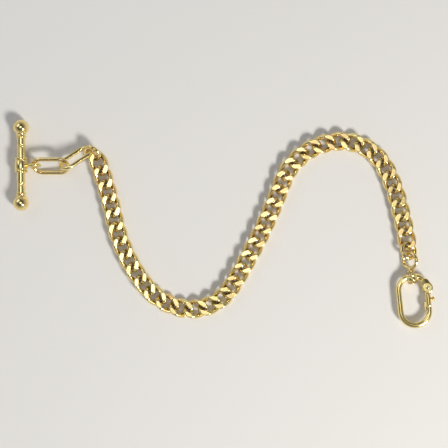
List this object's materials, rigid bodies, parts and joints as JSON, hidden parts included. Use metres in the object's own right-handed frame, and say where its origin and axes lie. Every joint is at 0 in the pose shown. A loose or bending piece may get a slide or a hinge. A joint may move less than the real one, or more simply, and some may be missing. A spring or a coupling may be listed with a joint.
{
  "type": "pocket watch chain",
  "caption": "Gold curb chain for a pocket watch, with a toggle bar on oval links at one end and a sprung swivel clasp at the other, laid out in its draped curve.",
  "frame": {"origin": "middle of the footprint, on the surface that the chain lies on", "axes": "+X from the toggle bar to the clasp, +Y up the wearer's front, +Z away from the surface"},
  "size_m": [0.1296, 0.0642, 0.0067],
  "materials": {
    "chain_gold": "polished pale yellow gold, rubbed bright on the filed faces and darker between the links",
    "fitting_gold": "polished pale yellow gold with fine wear scratches",
    "spring_steel": "satin steel"
  },
  "bodies": {
    "toggle": {"toggle_bar": "fitting_gold", "toggle_ball_upper": "fitting_gold", "toggle_ball_lower": "fitting_gold", "toggle_collar": "fitting_gold", "toggle_loop": "fitting_gold"},
    "toggle_oval": {"toggle_link": "fitting_gold"},
    "connecting_oval": {"connecting_link": "fitting_gold"},
    "ring_start": {"start_ring": "fitting_gold"},
    "link_01": {"curb_link_01": "chain_gold"},
    "link_02": {"curb_link_02": "chain_gold"},
    "link_03": {"curb_link_03": "chain_gold"},
    "link_04": {"curb_link_04": "chain_gold"},
    "link_05": {"curb_link_05": "chain_gold"},
    "link_06": {"curb_link_06": "chain_gold"},
    "link_07": {"curb_link_07": "chain_gold"},
    "link_08": {"curb_link_08": "chain_gold"},
    "link_09": {"curb_link_09": "chain_gold"},
    "link_10": {"curb_link_10": "chain_gold"},
    "link_11": {"curb_link_11": "chain_gold"},
    "link_12": {"curb_link_12": "chain_gold"},
    "link_13": {"curb_link_13": "chain_gold"},
    "link_14": {"curb_link_14": "chain_gold"},
    "link_15": {"curb_link_15": "chain_gold"},
    "link_16": {"curb_link_16": "chain_gold"},
    "link_17": {"curb_link_17": "chain_gold"},
    "link_18": {"curb_link_18": "chain_gold"},
    "link_19": {"curb_link_19": "chain_gold"},
    "link_20": {"curb_link_20": "chain_gold"},
    "link_21": {"curb_link_21": "chain_gold"},
    "link_22": {"curb_link_22": "chain_gold"},
    "link_23": {"curb_link_23": "chain_gold"},
    "link_24": {"curb_link_24": "chain_gold"},
    "link_25": {"curb_link_25": "chain_gold"},
    "link_26": {"curb_link_26": "chain_gold"},
    "link_27": {"curb_link_27": "chain_gold"},
    "link_28": {"curb_link_28": "chain_gold"},
    "link_29": {"curb_link_29": "chain_gold"},
    "link_30": {"curb_link_30": "chain_gold"},
    "link_31": {"curb_link_31": "chain_gold"},
    "link_32": {"curb_link_32": "chain_gold"},
    "link_33": {"curb_link_33": "chain_gold"},
    "link_34": {"curb_link_34": "chain_gold"},
    "link_35": {"curb_link_35": "chain_gold"},
    "link_36": {"curb_link_36": "chain_gold"},
    "link_37": {"curb_link_37": "chain_gold"},
    "link_38": {"curb_link_38": "chain_gold"},
    "link_39": {"curb_link_39": "chain_gold"},
    "ring_end": {"end_ring": "fitting_gold"},
    "clasp_eye": {"swivel_eye": "fitting_gold", "swivel_washer": "fitting_gold"},
    "clasp_frame": {"swivel_hook": "fitting_gold", "gate_pin": "spring_steel", "gate_spring": "spring_steel"},
    "clasp_gate": {"swivel_gate": "fitting_gold"}
  },
  "joints": [
    {"name": "toggle_swing", "type": "hinge", "parent": "toggle", "child": "toggle_oval", "pos_m": [-0.0576, 0.01866, 0.00361], "axis": [0, 0, 1], "range_deg": [-12, 26]},
    {"name": "oval_swing", "type": "hinge", "parent": "toggle_oval", "child": "connecting_oval", "pos_m": [-0.04956, 0.01891, 0.00384], "axis": [0, 0, 1], "range_deg": [-40, 30]},
    {"name": "connecting_swing", "type": "hinge", "parent": "connecting_oval", "child": "ring_start", "pos_m": [-0.04086, 0.02296, 0.00362], "axis": [0, 0, 1], "range_deg": [-6, 30]},
    {"name": "start_swing", "type": "hinge", "parent": "ring_start", "child": "link_01", "pos_m": [-0.03937, 0.0208, 0.00149], "axis": [0, 0, 1], "range_deg": [-14, 26]},
    {"name": "bend_01", "type": "hinge", "parent": "link_01", "child": "link_02", "pos_m": [-0.03776, 0.01645, 0.00145], "axis": [0, 0, 1], "range_deg": [-23.25, 26.75]},
    {"name": "fold_02", "type": "hinge", "parent": "link_02", "child": "link_03", "pos_m": [-0.03643, 0.01215, 0.00145], "axis": [-0.9594, -0.2819, 0], "range_deg": [-25, 25]},
    {"name": "bend_03", "type": "hinge", "parent": "link_03", "child": "link_04", "pos_m": [-0.03522, 0.00782, 0.00145], "axis": [0, 0, -1], "range_deg": [-26.75, 23.25]},
    {"name": "fold_04", "type": "hinge", "parent": "link_04", "child": "link_05", "pos_m": [-0.03415, 0.00345, 0.00145], "axis": [0.9749, 0.2228, 0], "range_deg": [-25, 25]},
    {"name": "bend_05", "type": "hinge", "parent": "link_05", "child": "link_06", "pos_m": [-0.03322, -0.00096, 0.00145], "axis": [0, 0, 1], "range_deg": [-30.2, 19.8]},
    {"name": "fold_06", "type": "hinge", "parent": "link_06", "child": "link_07", "pos_m": [-0.03189, -0.00526, 0.00145], "axis": [0.9409, 0.3387, 0], "range_deg": [-25, 25]},
    {"name": "bend_07", "type": "hinge", "parent": "link_07", "child": "link_08", "pos_m": [-0.03017, -0.00942, 0.00145], "axis": [0, 0, -1], "range_deg": [-19.8, 30.2]},
    {"name": "fold_08", "type": "hinge", "parent": "link_08", "child": "link_09", "pos_m": [-0.02809, -0.0134, 0.00145], "axis": [-0.8643, -0.503, 0], "range_deg": [-25, 25]},
    {"name": "bend_09", "type": "hinge", "parent": "link_09", "child": "link_10", "pos_m": [-0.02565, -0.01719, 0.00145], "axis": [0, 0, 1], "range_deg": [-30.2, 19.8]},
    {"name": "fold_10", "type": "hinge", "parent": "link_10", "child": "link_11", "pos_m": [-0.02288, -0.02073, 0.00145], "axis": [-0.7112, -0.703, 0], "range_deg": [-20, 20]},
    {"name": "bend_11", "type": "hinge", "parent": "link_11", "child": "link_12", "pos_m": [-0.01937, -0.02354, 0.00145], "axis": [0, 0, -1], "range_deg": [-11.67, 38.33]},
    {"name": "fold_12", "type": "hinge", "parent": "link_12", "child": "link_13", "pos_m": [-0.0153, -0.02547, 0.00145], "axis": [0.3201, 0.9474, 0], "range_deg": [-20, 20]},
    {"name": "bend_13", "type": "hinge", "parent": "link_13", "child": "link_14", "pos_m": [-0.0109, -0.02641, 0.00145], "axis": [0, 0, 1], "range_deg": [-42.5, 7.5]},
    {"name": "fold_14", "type": "hinge", "parent": "link_14", "child": "link_15", "pos_m": [-0.00642, -0.02597, 0.00145], "axis": [-0.2462, 0.9692, 0], "range_deg": [-20, 20]},
    {"name": "bend_15", "type": "hinge", "parent": "link_15", "child": "link_16", "pos_m": [-0.00228, -0.02422, 0.00145], "axis": [0, 0, -1], "range_deg": [-7.5, 42.5]},
    {"name": "fold_16", "type": "hinge", "parent": "link_16", "child": "link_17", "pos_m": [0.00114, -0.02129, 0.00145], "axis": [0.7576, -0.6528, 0], "range_deg": [-20, 20]},
    {"name": "bend_17", "type": "hinge", "parent": "link_17", "child": "link_18", "pos_m": [0.00353, -0.01748, 0.00145], "axis": [0, 0, 1], "range_deg": [-26.5, 23.5]},
    {"name": "fold_18", "type": "hinge", "parent": "link_18", "child": "link_19", "pos_m": [0.00581, -0.0136, 0.00145], "axis": [0.8682, -0.4962, 0], "range_deg": [-25, 25]},
    {"name": "bend_19", "type": "hinge", "parent": "link_19", "child": "link_20", "pos_m": [0.008, -0.00966, 0.00145], "axis": [0, 0, -1], "range_deg": [-23.5, 26.5]},
    {"name": "fold_20", "type": "hinge", "parent": "link_20", "child": "link_21", "pos_m": [0.01007, -0.00567, 0.00145], "axis": [-0.893, 0.4501, 0], "range_deg": [-25, 25]},
    {"name": "bend_21", "type": "hinge", "parent": "link_21", "child": "link_22", "pos_m": [0.01205, -0.00163, 0.00145], "axis": [0, 0, 1], "range_deg": [-26.5, 23.5]},
    {"name": "fold_22", "type": "hinge", "parent": "link_22", "child": "link_23", "pos_m": [0.01391, 0.00247, 0.00145], "axis": [-0.9153, 0.4027, 0], "range_deg": [-25, 25]},
    {"name": "bend_23", "type": "hinge", "parent": "link_23", "child": "link_24", "pos_m": [0.01567, 0.00661, 0.00145], "axis": [0, 0, -1], "range_deg": [-23.5, 26.5]},
    {"name": "fold_24", "type": "hinge", "parent": "link_24", "child": "link_25", "pos_m": [0.01732, 0.0108, 0.00145], "axis": [0.9351, -0.3543, 0], "range_deg": [-25, 25]},
    {"name": "bend_25", "type": "hinge", "parent": "link_25", "child": "link_26", "pos_m": [0.01886, 0.01503, 0.00145], "axis": [0, 0, 1], "range_deg": [-11.33, 38.67]},
    {"name": "fold_26", "type": "hinge", "parent": "link_26", "child": "link_27", "pos_m": [0.02135, 0.01877, 0.00145], "axis": [0.7604, -0.6494, 0], "range_deg": [-20, 20]},
    {"name": "bend_27", "type": "hinge", "parent": "link_27", "child": "link_28", "pos_m": [0.02466, 0.02182, 0.00145], "axis": [0, 0, -1], "range_deg": [-38.67, 11.33]},
    {"name": "fold_28", "type": "hinge", "parent": "link_28", "child": "link_29", "pos_m": [0.0286, 0.024, 0.00145], "axis": [-0.3867, 0.9222, 0], "range_deg": [-20, 20]},
    {"name": "bend_29", "type": "hinge", "parent": "link_29", "child": "link_30", "pos_m": [0.03291, 0.02528, 0.00145], "axis": [0, 0, 1], "range_deg": [-12.5, 37.5]},
    {"name": "fold_30", "type": "hinge", "parent": "link_30", "child": "link_31", "pos_m": [0.0374, 0.02559, 0.00145], "axis": [0.0785, 0.9969, 0], "range_deg": [-20, 20]},
    {"name": "bend_31", "type": "hinge", "parent": "link_31", "child": "link_32", "pos_m": [0.04179, 0.02458, 0.00145], "axis": [0, 0, -1], "range_deg": [-42, 8]},
    {"name": "fold_32", "type": "hinge", "parent": "link_32", "child": "link_33", "pos_m": [0.04568, 0.02233, 0.00145], "axis": [-0.6157, -0.788, 0], "range_deg": [-20, 20]},
    {"name": "bend_33", "type": "hinge", "parent": "link_33", "child": "link_34", "pos_m": [0.04881, 0.0191, 0.00145], "axis": [0, 0, 1], "range_deg": [-9, 41]},
    {"name": "fold_34", "type": "hinge", "parent": "link_34", "child": "link_35", "pos_m": [0.05092, 0.01512, 0.00145], "axis": [-0.9063, -0.4226, 0], "range_deg": [-25, 25]},
    {"name": "bend_35", "type": "hinge", "parent": "link_35", "child": "link_36", "pos_m": [0.05261, 0.01095, 0.00145], "axis": [0, 0, -1], "range_deg": [-31, 19]},
    {"name": "fold_36", "type": "hinge", "parent": "link_36", "child": "link_37", "pos_m": [0.05385, 0.00662, 0.00145], "axis": [0.9659, 0.2588, 0], "range_deg": [-25, 25]},
    {"name": "bend_37", "type": "hinge", "parent": "link_37", "child": "link_38", "pos_m": [0.05494, 0.00226, 0.00145], "axis": [0, 0, 1], "range_deg": [-23, 27]},
    {"name": "fold_38", "type": "hinge", "parent": "link_38", "child": "link_39", "pos_m": [0.05587, -0.00215, 0.00145], "axis": [0.9816, 0.1908, 0], "range_deg": [-25, 25]},
    {"name": "end_swing", "type": "hinge", "parent": "link_39", "child": "ring_end", "pos_m": [0.05512, -0.0062, 0.00123], "axis": [0.9877, 0.1564, 0], "range_deg": [-22, 30]},
    {"name": "eye_swing", "type": "hinge", "parent": "ring_end", "child": "clasp_eye", "pos_m": [0.05786, -0.0098, 0.00242], "axis": [0.9945, 0.1045, 0], "range_deg": [-40, 40]},
    {"name": "swivel_spin", "type": "hinge", "parent": "clasp_eye", "child": "clasp_frame", "pos_m": [0.05776, -0.01651, 0.0021], "axis": [0.1045, -0.9945, 0], "continuous": true},
    {"name": "gate_open", "type": "hinge", "parent": "clasp_frame", "child": "clasp_gate", "pos_m": [0.0625, -0.01954, 0.0021], "axis": [0, 0, 1], "range_deg": [-32, 0], "stiffness_Nm_per_rad": 0.006, "springref_deg": 17.19}
  ]
}
